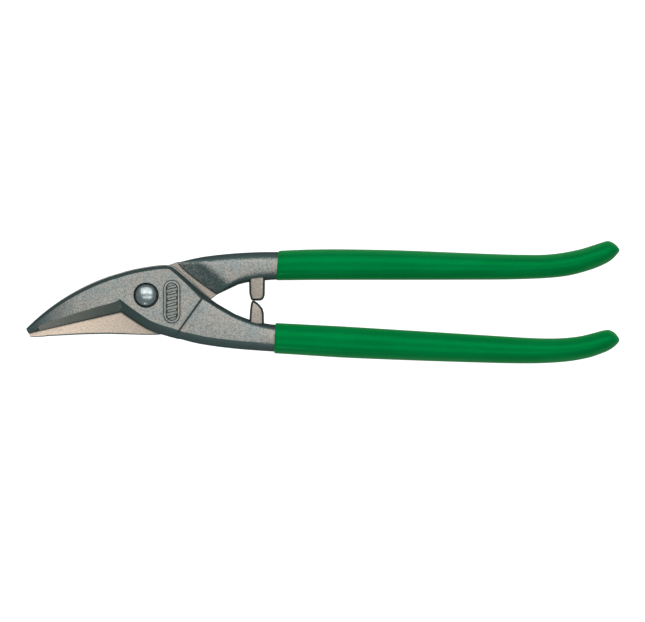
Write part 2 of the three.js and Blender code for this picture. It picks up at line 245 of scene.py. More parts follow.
front_step = step_rows(front_boss[-1], (14.1, -20.2, 28.7, -1.1, BAR, 0, 4.0, 2.3, 0.4, 0.4, 0.15))
FRONT_FOOT = Vector((14.8, -20.4)), Vector((32.9, -4.05))  # where the inner step starts
front_land = smooth_run([
    front_step[-1],
    (*FRONT_FOOT[0], *FRONT_FOOT[1], BAR, 0, 4.0, 2.1, 0.4, 0.6, 0.2),
], 3)


def ramp_rows(a, b):
    """The inner step: from the ground face the bar swells, up a slope and a broad round, to full thickness."""
    climb = [(0.03, 0.09), (0.08, 0.15), (0.18, 0.27), (0.28, 0.39), (0.38, 0.51), (0.48, 0.63),
             (0.58, 0.75), (0.68, 0.86), (0.78, 0.94), (0.89, 0.985), (1.0, 1.0)]
    rows = []
    for t, rise in climb:
        row = [p + (q - p) * t for p, q in zip(a, b)]
        row[5] = BAR * rise
        rows.append(tuple(row))
    return rows


def bow_step(bm, edge_end, back_end, inner):
    """Bows the foot of the inner step a little towards the jaws. Inner is 1 where the inner side looks up."""
    line = back_end - edge_end
    towards_jaws = Vector((line.y, -line.x)).normalized()
    if towards_jaws.x > 0:
        towards_jaws.negate()
    bow, reach, lean = 1.15, 6, 0.55
    for v in bm.verts:
        spot = v.co.xy - edge_end
        t = spot.dot(line) / line.length_squared
        away = abs(spot.dot(towards_jaws)) / reach
        if 0 < t < 1 and away < 1 and v.co.z * inner > -1:
            u = t**lean
            v.co.xy += towards_jaws * bow * 4 * u * (1 - u) * (1 - away) ** 2


front_ramp = ramp_rows(front_land[-1], (24.5, -22.55, 40.8, -8.65, BAR, BAR, 3.9, 2.3, 0.4, 1, 0.4))
front_handle = smooth_run([
    front_ramp[-1],
    (32.6, -23.8, 47.3, -11.15, BAR, BAR, 3.9, 2.6, 0.4, 1, 0.5),
    (43.4, -25.0, 53.2, -12.7, BAR, BAR, 3.9, 2.8, 0.5, 1, 0.6),
    (52.0, -25.65, 57.0, -13.35, BAR, BAR, 3.9, 3.0, 0.6, 1, 0.7),
    (58.6, -26.1, 59.3, -13.6, BAR, BAR, 4.0, 3.2, 0.7, 1, 0.8),
], 4)
# The coated handle in plan, edge side then back side, and half its thickness.
LOWER_HANDLE = [
    (59.0, -26.9, 59.6, -12.8, 5.35), (65, -27.25, 65.5, -13.1, 5.62), (75, -27.9, 75.5, -13.6, 5.75),
    (92, -28.95, 92.5, -14.5, 5.75), (126, -30.3, 126.8, -16.6, 5.75), (160, -31.35, 161, -18.75, 5.75),
    (176, -31.6, 176, -19.65, 5.75), (187, -31.3, 184.5, -19.95, 5.75), (196.5, -30.45, 192.6, -19.8, 5.7),
    (205, -28.85, 200.8, -18.9, 5.6), (210.8, -26.9, 207.4, -17.3, 5.45), (214.2, -25.4, 211, -16.35, 5.2),
    (216.3, -24.0, 213.8, -16.0, 4.7), (217.7, -22.7, 216.0, -16.85, 3.9),
    (218.6, -21.6, 217.6, -18.3, 2.6), (218.9, -20.9, 218.5, -19.6, 1.2),
]
SOFT_CORNER = 4.6  # the width of the rounding along a coated handle
WIDEST_CORNER = 0.46  # of the handle's width, where it narrows to its end
COAT_CROWN = 0.26  # of half the handle's thickness
TANG_GAP = 0.02  # between the tang and the coat
DOMED_END = 5  # rows of a handle's plan that belong to its domed end


def handle_rows(plan, spans):
    """Rows of the coated handle, with the soft rounding shrinking into its domed end."""
    keys = []
    for ex, ey, bx, by, half in plan:
        corner = min(SOFT_CORNER, WIDEST_CORNER * math.dist((ex, ey), (bx, by)))
        keys.append((ex, ey, bx, by, half, half, corner, corner, 1, 1, COAT_CROWN * half))
    return smooth_run(keys, spans)


def forge_lever(rows, plan, outward):
    """The whole lever: its bare steel, and the tang that runs on inside the coating."""
    tang = handle_rows(plan[1:-DOMED_END], 3)
    return forge_bar(sections_of(rows, outward) + sections_of(tang, outward, COAT + TANG_GAP))


front_rows = front_jaw + front_boss[1:] + front_step[1:] + front_land[1:] + front_ramp + front_handle[1:]
front_bm = forge_lever(front_rows, LOWER_HANDLE, 1)
bow_step(front_bm, *FRONT_FOOT, -1)


def grind(bm, is_ground, finish=1):
    """Gives a ground finish, by its place in the piece's materials, to the faces that pass the test."""
    for face in bm.faces:
        if is_ground(face):
            face.material_index = finish


def drafted(outline, low, high, draft, rim):
    """A flat outline drawn up from low to high, with sides that lean in and a rounded upper rim."""
    bm = bmesh.new()
    face = bm.faces.new([bm.verts.new((x, y, low)) for x, y in outline])
    bm.normal_update()
    if face.normal.z < 0:
        face.normal_flip()
    bmesh.ops.inset_region(bm, faces=[face], thickness=draft, depth=high - low, use_boundary=True,
                           use_even_offset=True)
    bmesh.ops.holes_fill(bm, edges=[e for e in bm.edges if e.is_boundary], sides=0)
    bmesh.ops.bevel(bm, geom=list(face.edges), offset=rim, segments=3, profile=0.5, affect="EDGES",
                    material=-1)
    bmesh.ops.recalc_face_normals(bm, faces=bm.faces)
    return bm


def both_sides(bm):
    """Doubles a drafted shape about the joint plane and drops the foot between the halves."""
    foot = [f for f in bm.faces if all(abs(v.co.z) < 1e-4 for v in f.verts)]
    bmesh.ops.delete(bm, geom=foot, context="FACES_ONLY")
    bmesh.ops.mirror(bm, geom=bm.verts[:] + bm.edges[:] + bm.faces[:], axis="Z", merge_dist=1e-4)
    bmesh.ops.recalc_face_normals(bm, faces=bm.faces)
    return bm


def turned(profile, steps=72):
    """A round piece spun about the pivot axis from its profile of radius and height."""
    bm = bmesh.new()
    points = [bm.verts.new((r, 0, z)) for r, z in profile]
    edges = [bm.edges.new(pair) for pair in zip(points, points[1:])]
    bmesh.ops.spin(bm, geom=points + edges, cent=(0, 0, 0), axis=(0, 0, 1), angle=2 * math.pi,
                   steps=steps, use_merge=True)
    bmesh.ops.remove_doubles(bm, verts=bm.verts, dist=1e-4)
    bmesh.ops.recalc_face_normals(bm, faces=bm.faces)
    return bm


def bored(radius, low, high):
    return turned([(0, low), (radius, low), (radius, high), (0, high)])


def as_object(bm, name, materials=()):
    """Turns a shape in millimetres about the pivot into an object in its place."""
    bmesh.ops.scale(bm, vec=(MM, MM, MM), verts=bm.verts)
    bmesh.ops.translate(bm, vec=PIVOT, verts=bm.verts)
    mesh = bpy.data.meshes.new(name)
    bm.to_mesh(mesh)
    bm.free()
    for material in materials:
        mesh.materials.append(material)
    piece = bpy.data.objects.new(name, mesh)
    bpy.context.scene.collection.objects.link(piece)
    return piece


def join_and_cut(piece, added=(), removed=(), within=()):
    """Keeps the part of a piece that is within solid shapes, joins others to it, then cuts others out of it."""
    tools = []
    for shapes, operation in ((within, "INTERSECT"), (added, "UNION"), (removed, "DIFFERENCE")):
        for shape in shapes:
            tool = as_object(shape, "tool")
            modifier = piece.modifiers.new("join_or_cut", "BOOLEAN")
            modifier.operation = operation
            modifier.solver = "EXACT"
            modifier.object = tool
            tools.append(tool)
    seen = piece.evaluated_get(bpy.context.evaluated_depsgraph_get())
    solid = bpy.data.meshes.new_from_object(seen)
    piece.modifiers.clear()
    piece.data = solid
    for tool in tools:
        bpy.data.objects.remove(tool)


def smooth_shade(piece, sharp=30):
    for face in piece.data.polygons:
        face.use_smooth = True
    piece.data.set_sharp_from_angle(angle=math.radians(sharp))


HOLE = 4.03  # the pivot hole's radius
SEAT_DEPTH = 0.8  # the bolt's head stands in a recess this deep
LUG_HALF = 3.2  # half the thickness of a closing stop


def stop_lug(outline):
    """A closing stop: it stands in from both faces of the handle, and its flat faces are ground."""
    lug = both_sides(drafted(outline, 0, LUG_HALF, draft=0.75, rim=0.35))
    grind(lug, lambda face: abs(face.normal.z) > 0.9)
    return lug


def cartouche():
    """A blank capsule-shaped panel: a raised rim with slanting bars inside it."""
    x, y = 11.9, -3.0
    half_width, half_length, rim, softened = 4.1, 6.1, 0.65, 0.08
    low, high, floor_depth = BLADE - 0.3, BLADE + 0.6, 0.7
    ring = []
    for end, first in ((1, 0), (-1, 180)):
        for i in range(13):
            a = math.radians(first + 15 * i)
            ring.append((x + half_width * math.cos(a), y + end * half_length + half_width * math.sin(a)))
    capsule = drafted(ring, low, high, 0.55, softened)
    panel = max(capsule.faces, key=lambda f: f.calc_center_median().z)
    bmesh.ops.inset_region(capsule, faces=[panel], thickness=rim, use_even_offset=True)
    bmesh.ops.inset_region(capsule, faces=[panel], thickness=0.4, depth=-floor_depth, use_even_offset=True)
    shapes = [capsule]
    bars, pitch, reach, thick, slant = 6, 2.7, 2.5, 0.9, 0.6
    for i in range(bars):
        middle = y + pitch * (i - (bars - 1) / 2)
        left, right = middle - slant, middle + slant
        bar = [(x - reach, left - thick), (x + reach, right - thick), (x + reach, right + thick),
               (x - reach, left + thick)]
        shapes.append(drafted(bar, low, high, 0.5, softened))
    return shapes


def node(tree, kind, inputs=None, **settings):
    """Adds a shader node. Each input is given a value, or a socket to be linked from."""
    made = tree.nodes.new(kind)
    for name, value in settings.items():
        setattr(made, name, value)
    for name, value in (inputs or {}).items():
        if isinstance(value, bpy.types.NodeSocket):
            tree.links.new(value, made.inputs[name])
        else:
            made.inputs[name].default_value = value
    return made


def blend_colour(tree, factor, a, b, how="MIX"):
    mix = node(tree, "ShaderNodeMix", data_type="RGBA", blend_type=how)
    for socket, value in ((mix.inputs[0], factor), (mix.inputs[6], a), (mix.inputs[7], b)):
        if isinstance(value, bpy.types.NodeSocket):
            tree.links.new(value, socket)
        else:
            socket.default_value = value
    return mix.outputs[2]


def maths(tree, how, *values, **settings):
    """One step of arithmetic on numbers or sockets."""
    return node(tree, "ShaderNodeMath", dict(enumerate(values)), operation=how, **settings).outputs[0]


def spread(tree, value, low, high, to_low, to_high):
    """Maps one range of values to another and stops at its ends."""
    return node(tree, "ShaderNodeMapRange", {
        "Value": value, "From Min": low, "From Max": high, "To Min": to_low, "To Max": to_high,
    }).outputs[0]


def new_group(name, inputs, outputs):
    """An empty shader group of plain numbers, with defaults for its inputs and names for its outputs."""
    group = bpy.data.node_groups.new(name, "ShaderNodeTree")
    for label, value in inputs.items():
        made = group.interface.new_socket(name=label, in_out="INPUT", socket_type="NodeSocketFloat")
        made.default_value = value
    for label in outputs:
        group.interface.new_socket(name=label, in_out="OUTPUT", socket_type="NodeSocketFloat")
    return group, group.nodes.new("NodeGroupInput").outputs, group.nodes.new("NodeGroupOutput").inputs


def grain_group():
    """Fine grain on broad mottling, both sized in millimetres. Shade is 0 to 1 and Height is for a bump."""
    sockets = {"Grain Size": 0.5, "Mottle Size": 5.0}
    group, given, result = new_group("metal_grain", sockets, ["Shade", "Mottle", "Height"])
    place = node(group, "ShaderNodeTexCoord").outputs["Object"]
    fine = maths(group, "DIVIDE", 1 / MM, given["Grain Size"])
    broad = maths(group, "DIVIDE", 1 / MM, given["Mottle Size"])
    grit = node(group, "ShaderNodeTexNoise", {
        "Vector": place, "Scale": fine, "Detail": 3.0, "Roughness": 0.62,
    })
    pits = node(group, "ShaderNodeTexVoronoi", {"Vector": place, "Scale": fine}, feature="SMOOTH_F1")
    cloud = node(group, "ShaderNodeTexNoise", {
        "Vector": place, "Scale": broad, "Detail": 4.0, "Roughness": 0.6,
    })
    group.links.new(spread(group, grit.outputs[0], 0.28, 0.72, 0.0, 1.0), result["Shade"])
    group.links.new(spread(group, cloud.outputs[0], 0.3, 0.7, 0.0, 1.0), result["Mottle"])
    dimple = spread(group, pits.outputs["Distance"], 0.0, 0.7, 0.0, 1.0)
    group.links.new(maths(group, "ADD", grit.outputs[0], dimple), result["Height"])
    return group


def steep_group():
    """How steeply the surface stands, from 0 on the faces of the tool to 1 on its sides.
    The materials paint shade, and on the grips a rim light, on the sides through this mask.
    """
    sockets = {"Flat": 0.97, "Steep": 0.86, "Grit": 0.5, "Ragged": 0.0}
    group, given, result = new_group("steep_sides", sockets, ["Mask"])
    normal = node(group, "ShaderNodeNewGeometry").outputs["Normal"]
    lift = maths(group, "ABSOLUTE", node(group, "ShaderNodeSeparateXYZ", {0: normal}).outputs[2])
    centred = maths(group, "SUBTRACT", given["Grit"], 0.5)
    uneven = maths(group, "MULTIPLY_ADD", centred, given["Ragged"], lift)
    group.links.new(spread(group, uneven, given["Flat"], given["Steep"], 0.0, 1.0), result["Mask"])
    return group


def wear_group():
    """Where an edge has been rubbed: the surface turns faster than its rounded copy."""
    group, given, result = new_group("edge_wear", {"Radius": 0.25, "Gain": 5.0}, ["Mask"])
    reach = maths(group, "MULTIPLY", given["Radius"], MM)
    rounded = node(group, "ShaderNodeBevel", {"Radius": reach}, samples=6).outputs[0]
    true = node(group, "ShaderNodeNewGeometry").outputs["Normal"]
    same = node(group, "ShaderNodeVectorMath", {0: rounded, 1: true}, operation="DOT_PRODUCT")
    turn = maths(group, "SUBTRACT", 1.0, same.outputs["Value"])
    mask = maths(group, "MULTIPLY", turn, given["Gain"], use_clamp=True)
    group.links.new(mask, result["Mask"])
    return group


def crevice_group():
    """Painted shade in corners and recesses, darker the more closed in they are."""
    group, given, result = new_group("painted_crevice_shade", {"Reach": 1.0, "Gain": 2.0}, ["Mask"])
    reach = maths(group, "MULTIPLY", given["Reach"], MM)
    open_sky = node(group, "ShaderNodeAmbientOcclusion", {"Distance": reach}, samples=6).outputs["AO"]
    closed = maths(group, "SUBTRACT", 1.0, open_sky)
    mask = maths(group, "MULTIPLY", closed, given["Gain"], use_clamp=True)
    group.links.new(mask, result["Mask"])
    return group


GRAIN, STEEP, WEAR, CREVICE = grain_group(), steep_group(), wear_group(), crevice_group()


def use(tree, group, **inputs):
    """Puts a shared group into a material and gives its outputs."""
    given = {label.replace("_", " "): value for label, value in inputs.items()}
    return node(tree, "ShaderNodeGroup", given, node_tree=group).outputs


def new_material(name):
    material = bpy.data.materials.new(name)
    material.use_nodes = True
    return material, material.node_tree, material.node_tree.nodes["Principled BSDF"]


def add_relief(tree, shader, height, strength, depth):
    """A shallow bump, its depth in millimetres."""
    relief = node(tree, "ShaderNodeBump", {"Height": height, "Strength": strength, "Distance": depth * MM})
    tree.links.new(relief.outputs[0], shader.inputs["Normal"])


def steel(name, cool, warm, side, shine, rough, grain_size, bump, contrast, metal, run):
    """Steel with a grainy skin, brighter where edges were rubbed, with painted shade on its steep sides
    and in its corners.

    Its colour drifts towards the nose of the jaws: run is where that starts and ends on X, and the last colour.
    On the forged skin the darker nose is painted shade, where the jaw's faces tilt away from the light.
    """
    material, tree, shader = new_material(name)
    grain = use(tree, GRAIN, Grain_Size=grain_size, Mottle_Size=9.0)
    colour = blend_colour(tree, grain["Mottle"], (*cool, 1), (*warm, 1))
    start, end, at_nose = run
    place = node(tree, "ShaderNodeTexCoord").outputs["Object"]
    along = node(tree, "ShaderNodeSeparateXYZ", {0: place}).outputs[0]
    # The drift towards the nose: on the forged skin it is painted shade.
    colour = blend_colour(tree, spread(tree, along, start * MM, end * MM, 0.0, 1.0), colour, (*at_nose, 1))
    speck = spread(tree, grain["Shade"], 0, 1, 1 - contrast, 1 + contrast)
    speck = node(tree, "ShaderNodeCombineColor", {0: speck, 1: speck, 2: speck}).outputs[0]
    colour = blend_colour(tree, 1.0, colour, speck, "MULTIPLY")
    # Painted shade: steep sides take the darker side colour, as they turn away from the light.
    if side:
        steep = use(tree, STEEP, Grit=grain["Shade"], Ragged=0.12)["Mask"]
        colour = blend_colour(tree, steep, colour, (*side, 1))
    worn = spread(tree, use(tree, WEAR)["Mask"], 0, 1, 0, 0.15)
    colour = blend_colour(tree, worn, colour, (*shine, 1))
    # Painted shade: corners and recesses darken towards near black.
    crevice_shade = spread(tree, use(tree, CREVICE)["Mask"], 0, 1, 0, 0.75)
    colour = blend_colour(tree, crevice_shade, colour, (0.02, 0.03, 0.028, 1))
    tree.links.new(colour, shader.inputs["Base Color"])
    sheen = spread(tree, grain["Shade"], 0, 1, rough - 0.08, rough + 0.1)
    tree.links.new(sheen, shader.inputs["Roughness"])
    add_relief(tree, shader, grain["Height"], bump, 0.1)
    shader.inputs["Metallic"].default_value = metal
    shader.inputs["Specular Tint"].default_value = (0.35, 0.42, 0.42, 1)
    return material


# Painted shade: the side colour on steep sides, and the dark colour at the nose.
FORGED = steel(
    "forged_steel_skin", cool=(0.247, 0.274, 0.274), warm=(0.36, 0.313, 0.277), side=(0.093, 0.13, 0.127),
    shine=(0.38, 0.4, 0.38), rough=0.48, grain_size=0.8, bump=0.5, contrast=0.45, metal=0.75,
    run=(-31, -52, (0.055, 0.08, 0.08)),
)
# Painted shade: the side colour on steep sides.
GROUND_STEEL = steel(
    "ground_steel", cool=(0.28, 0.24, 0.21), warm=(0.32, 0.265, 0.225), side=(0.05, 0.06, 0.055),
    shine=(0.42, 0.38, 0.34), rough=0.38, grain_size=0.7, bump=0.25, contrast=0.3, metal=1.0,
    run=(10, -34, (0.6, 0.47, 0.38)),
)
# The facet behind the cutting edge: ground steel painted darker as shade, since it tilts away from the light.
# The painted shade eases towards the nose.
SHADED_FACET_STEEL = steel(
    "facet_in_painted_shade", cool=(0.13, 0.155, 0.14), warm=(0.17, 0.17, 0.15), side=None,
    shine=(0.3, 0.28, 0.25), rough=0.36, grain_size=0.6, bump=0.12, contrast=0.25, metal=0.75,
    run=(-15, -50, (0.36, 0.33, 0.3)),
)


def on_ground_plane(face):
    """True on the flat inner face of a blade."""
    return all(abs(abs(v.co.z) - GROUND) < 1e-4 for v in face.verts)


def facet_up_to(notch):
    """A test for the broad facet behind a jaw's cutting edge, from near the nose to the notch."""
    def on_facet(face):
        spot = face.calc_center_median()
        lean = abs(face.normal.z)
        faces_edge = face.normal.y * spot.z < 0
        return -51 < spot.x < notch.x and 0.6 < lean < 0.97 and faces_edge and abs(spot.z) > GROUND + 0.01
    return on_facet


grind(front_bm, on_ground_plane)
# The facet takes the copy of ground steel in painted shade.
grind(front_bm, facet_up_to(FRONT_NOTCH), 2)
front_lever = as_object(front_bm, "front_lever_forging", [FORGED, GROUND_STEEL, SHADED_FACET_STEEL])
front_lug = [(47.4, -14), (47.85, -6.8), (48.2, -4.2), (48.5, -3.15), (49.0, -2.6), (49.9, -2.59),
             (51.2, -3.4), (52.6, -4.75), (53.7, -6.2), (54.25, -8.2), (54.4, -14)]
seat = turned([(0, BLADE - SEAT_DEPTH), (5.15, BLADE - SEAT_DEPTH), (5.75, BLADE - 0.1), (5.9, BLADE + 0.05),
               (5.9, BLADE + 2), (0, BLADE + 2)])
join_and_cut(front_lever, [stop_lug(front_lug), *cartouche()], [bored(HOLE, -1, BLADE + 1), seat])
smooth_shade(front_lever, sharp=25)
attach(front_lever, "front_half")
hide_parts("front_lever")


# ---------- rear lever ----------
# The lower jaw and the upper handle, forged and finished as the front lever is. It lies the other way up: its
# ground face looks up, and the strip of it beside the front boss shows, then the swelling of the handle.

REAR_NOSE, REAR_NOTCH = Vector((-54.8, -16.9)), Vector((-12.5, -5.0))


def rear_jaw_row(x_edge, back):
    t = (x_edge - REAR_NOSE.x) / (REAR_NOTCH.x - REAR_NOSE.x)
    return jaw_row(REAR_NOSE.lerp(REAR_NOTCH, t), back)


rear_jaw = smooth_run([
    rear_jaw_row(-54.8, (-54.1, -19.2)),
    rear_jaw_row(-53.4, (-52.6, -19.4)),
    rear_jaw_row(-50.5, (-50.2, -19.3)),
    rear_jaw_row(-48, (-47.8, -19.2)),
    rear_jaw_row(-45, (-44.9, -18.9)),
    rear_jaw_row(-41.5, (-41.5, -18.75)),
    rear_jaw_row(-31.6, (-31.6, -18.25)),
    rear_jaw_row(-20, (-20, -17.95)),
    rear_jaw_row(-12.5, (-12.5, -18.05)),
], 4)
rear_boss = smooth_run([
    rear_jaw[-1],
    (-8.2, -0.9, -6, -18.25, BLADE, 0, 4.6, 1.6, 0.1, 0, 0),
    (-3, 4.3, 1, -18.4, BLADE, 0, 4.4, 1.5, 0.2, 0, 0),
    (2.6, 9.2, 6.4, -18.2, BLADE, 0, 4.3, 1.5, 0.3, 0, 0),
    (5.6, 11.5, 10.2, -17.4, BLADE, 0, 4.3, 1.6, 0.35, 0, 0),
    (8.2, 13.0, 12.9, -15.6, BLADE, 0, 4.3, 1.7, 0.4, 0, 0),
    (10.0, 13.9, 17.0, -11.8, BLADE, 0, 4.3, 1.8, 0.45, 0, 0),
    (12.3, 14.8, 26.8, -4.4, BLADE, 0, 4.3, 1.8, 0.5, 0, 0),
], 4)
rear_step = step_rows(rear_boss[-1], (13.2, 15.15, 28.0, -3.35, BAR, 0, 4.3, 1.9, 0.6, 0.3, 0.1))
REAR_FOOT = Vector((14.4, 15.5)), Vector((32.4, 0.2))  # where the inner step starts
rear_land = smooth_run([
    rear_step[-1], (*REAR_FOOT[0], *REAR_FOOT[1], BAR, 0, 3.6, 2.0, 0.8, 0.6, 0.2),
], 3)
rear_ramp = ramp_rows(rear_land[-1], (26.0, 17.8, 42.4, 4.95, BAR, BAR, 3.6, 2.8, 1, 1, 0.5))
rear_handle = smooth_run([
    rear_ramp[-1],
    (33.0, 18.7, 47.3, 6.1, BAR, BAR, 3.8, 3.8, 1, 1, 0.6),
    (43.4, 19.6, 53.2, 6.75, BAR, BAR, 4.2, 4.5, 1, 1, 0.7),
    (52.5, 20.0, 57.0, 7.05, BAR, BAR, 4.4, 4.7, 1, 1, 0.75),
    (60.8, 20.05, 59.9, 7.2, BAR, BAR, 4.6, 4.6, 1, 1, 0.8),
], 4)
UPPER_HANDLE = [
    (61.1, 20.6, 59.9, 6.9, 5.35), (66, 20.85, 65.5, 6.95, 5.62), (75, 21.2, 75, 7.05, 5.75),
    (92, 21.3, 92, 7.1, 5.75), (117.5, 20.8, 118, 7.1, 5.75), (145.3, 19.7, 145.5, 7.15, 5.75),
    (165, 18.95, 165, 7.25, 5.75), (175, 18.75, 175.5, 7.5, 5.75), (184, 18.8, 186, 8.0, 5.75),
    (192, 19.6, 195.5, 9.1, 5.7), (200.8, 21.35, 205, 11.6, 5.6), (207, 23.25, 210.6, 13.75, 5.45),
    (210.8, 24.5, 213.9, 15.45, 5.2), (213.6, 25.15, 216.2, 17.2, 4.7), (215.8, 24.4, 217.7, 18.85, 3.9),
    (217.5, 23.1, 218.7, 20.1, 2.6), (218.4, 22.0, 218.9, 20.9, 1.2),
]

rear_rows = rear_jaw + rear_boss[1:] + rear_step[1:] + rear_land[1:] + rear_ramp + rear_handle[1:]
rear_bm = forge_lever(rear_rows, UPPER_HANDLE, -1)
bow_step(rear_bm, *REAR_FOOT, 1)
grind(rear_bm, on_ground_plane)
grind(rear_bm, facet_up_to(REAR_NOTCH), 2)
rear_lever = as_object(rear_bm, "rear_lever_forging", [FORGED, GROUND_STEEL, SHADED_FACET_STEEL])
rear_lug = [(47.35, 9), (47.5, 0.9), (47.9, -0.7), (48.3, -1.9), (48.9, -2.55), (50.6, -2.54),
            (52.6, -2.5), (53.6, -2.1), (54.3, -1.2), (54.7, 0.3), (54.8, 9)]
SPOT_FACE, SPOT_FACE_DEPTH = 7.2, 0.6  # radius and depth of the flat that the spring washer bears on
spot_face = bored(SPOT_FACE, -BLADE - 2, -BLADE + SPOT_FACE_DEPTH)
join_and_cut(rear_lever, [stop_lug(rear_lug)], [bored(HOLE, -BLADE - 1, 1), spot_face])
smooth_shade(rear_lever, sharp=25)
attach(rear_lever, "rear_half")
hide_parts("rear_lever")


# ---------- grips ----------
# Thick green PVC, put on by dipping each hot handle. It follows the tang, closes on the steel in a thin
# rolled lip at the mouth, and hangs thicker at the domed end.

# The rings of the rolled lip: how far in from the skin each one lies, and how far back along the handle.
LIP = ((0.75, 0.02), (0.5, 0.0), (0.28, 0.1), (0.12, 0.28), (0.03, 0.5))
LIP_BACK = 0.8  # where the lip has become the skin


def dipped_grip(name, plan, outward, body, replaced):
    """A sleeve drawn out from its blind inner end to the mouth, round the lip and back over the outside."""
    rows = handle_rows(plan, 5)
    inside = sections_of(handle_rows(plan[:-DOMED_END], 4), outward, COAT)[::-1]
    along = (Vector(rows[1][0:2]) - Vector(rows[0][0:2])).normalized()
    lip = []
    for inset, back in (*LIP, (0, LIP_BACK)):
        ring = section(rows[0], rows[0], rows[1], outward, inset)
        lip.append([p + Vector((*(along * back), 0)) for p in ring])
    outside = sections_of(rows, outward)[1:]
    grip = as_object(forge_bar(inside[:-1] + lip + outside), name, [COAT_GREEN])
    smooth_shade(grip, sharp=50)
    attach(grip, body)
    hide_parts(replaced)


def green_coat():
    """Semi-gloss plastic with the slow ripple of a dipped skin and a faint fine texture, and painted rim light:
    its steep sides are painted a brighter green.
    """
    material, tree, shader = new_material("dipped_green_pvc")
    place = node(tree, "ShaderNodeTexCoord").outputs["Object"]
    drawn = node(tree, "ShaderNodeMapping", {"Vector": place, "Scale": (0.25, 1, 1)}).outputs[0]
    cloud = node(tree, "ShaderNodeTexNoise", {"Vector": drawn, "Scale": 160.0, "Detail": 3.0}).outputs[0]
    ripple = node(tree, "ShaderNodeTexNoise", {"Vector": drawn, "Scale": 420.0, "Detail": 2.0}).outputs[0]
    skin = node(tree, "ShaderNodeTexNoise", {"Vector": place, "Scale": 2600.0, "Detail": 2.0}).outputs[0]
    bloom = spread(tree, cloud, 0.3, 0.7, 0, 1)
    colour = blend_colour(tree, bloom, (0.0, 0.148, 0.033, 1), (0.0, 0.18, 0.042, 1))
    # Painted rim light: the steep sides turn a brighter green.
    steep = use(tree, STEEP, Flat=0.8, Steep=0.2)["Mask"]
    colour = blend_colour(tree, steep, colour, (0.0, 0.3, 0.055, 1))
    worn = spread(tree, use(tree, WEAR, Radius=0.5, Gain=5.0)["Mask"], 0, 1, 0, 0.3)
    colour = blend_colour(tree, worn, colour, (0.0, 0.3, 0.08, 1))
    tree.links.new(colour, shader.inputs["Base Color"])
    tree.links.new(spread(tree, skin, 0.3, 0.7, 0.21, 0.29), shader.inputs["Roughness"])
    wave = node(tree, "ShaderNodeBump", {"Height": ripple, "Strength": 0.25, "Distance": 0.25 * MM})
    fine = node(tree, "ShaderNodeBump", {
        "Height": skin, "Strength": 0.2, "Distance": 0.03 * MM, "Normal": wave.outputs[0],
    })
    tree.links.new(fine.outputs[0], shader.inputs["Normal"])
    shader.inputs["Specular Tint"].default_value = (0.0, 1.0, 0.2, 1)
    shader.inputs["Specular IOR Level"].default_value = 0.4
    return material


COAT_GREEN = green_coat()
dipped_grip("lower_grip_coat", LOWER_HANDLE, 1, "front_half", "lower_grip")
dipped_grip("upper_grip_coat", UPPER_HANDLE, -1, "rear_half", "upper_grip")


# ---------- pivot bolt ----------
# A zinc-plated steel bolt with a low dome and an 8 mm shank that the rear lever turns on. The dome is forged
# cold, so it is a little uneven, and it stands in a recess that shows as a dark ring, deepened by painted
# shade.

bolt_lo, bolt_hi = ((corner - PIVOT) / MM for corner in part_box("pivot_bolt"))
END, TOP = bolt_lo.z, bolt_hi.z
SEAT = BLADE - SEAT_DEPTH + 0.05  # the underside of the head
HEAD, SHANK, THREAD = 5.0, 3.95, 3.0  # radii
RIM, RIM_CHAMFER = 0.75, 0.15  # the upright side under the dome
SHOULDER = -4.7  # where the shank steps down to the thread
PITCH, THREAD_DEPTH, FLANK, CREST = 0.8, 0.35, 0.3, 0.12
DOME_STEPS = 16
FULLNESS = 0.85  # 0 is a slice of a ball, 1 is a button that stands upright at its rim

rise = TOP - SEAT - RIM
ball_radius = (HEAD**2 + rise**2) / (2 * rise)
dome = [(0.0, TOP)]
for i in range(1, DOME_STEPS + 1):
    r = (HEAD - 0.05) * math.sin(math.pi / 2 * i / DOME_STEPS)
    ball = TOP - ball_radius + math.sqrt(ball_radius**2 - r**2)
    button = TOP - rise + rise * math.sqrt(1 - (r / HEAD)**2)
    dome.append((r, (1 - FULLNESS) * ball + FULLNESS * button))
head = [(HEAD, SEAT + RIM - RIM_CHAMFER), (HEAD, SEAT + RIM_CHAMFER), (HEAD - RIM_CHAMFER, SEAT)]
shank = [(SHANK, SEAT), (SHANK, SHOULDER + 0.2), (SHANK - 0.2, SHOULDER)]
root = THREAD - THREAD_DEPTH
thread = [(root, SHOULDER - 0.4)]
z = SHOULDER - 0.5
while z > END + 1.0:
    thread += [(root, z), (THREAD, z - FLANK), (THREAD, z - FLANK - CREST)]
    z -= PITCH
thread += [(root, z), (THREAD - 0.1, END + 0.45), (THREAD - 0.6, END), (0.0, END)]
bolt_bm = turned(dome + head + shank + thread, 96)


def plated(name, colour, dull, rough, hammered):
    """Bright zinc plate over steel: cloudy, slightly hammered, painted with shade on its steep sides, worn at
    its edges.
    """
    material, tree, shader = new_material(name)
    grain = use(tree, GRAIN, Grain_Size=0.35, Mottle_Size=1.6)
    tint = blend_colour(tree, grain["Mottle"], (*colour, 1), (*dull, 1))
    # Painted shade: the steep sides, such as the head's rim in its recess, darken.
    steep = spread(tree, use(tree, STEEP, Flat=0.72, Steep=0.3)["Mask"], 0, 1, 0, 0.8)
    tint = blend_colour(tree, steep, tint, (0.045, 0.07, 0.065, 1))
    worn = spread(tree, use(tree, WEAR)["Mask"], 0, 1, 0, 0.5)
    tint = blend_colour(tree, worn, tint, (0.8, 0.82, 0.82, 1))
    tree.links.new(tint, shader.inputs["Base Color"])
    tree.links.new(spread(tree, grain["Mottle"], 0, 1, rough, rough + 0.15), shader.inputs["Roughness"])
    add_relief(tree, shader, grain["Mottle"], hammered, 0.12)
    shader.inputs["Metallic"].default_value = 1.0
    return material


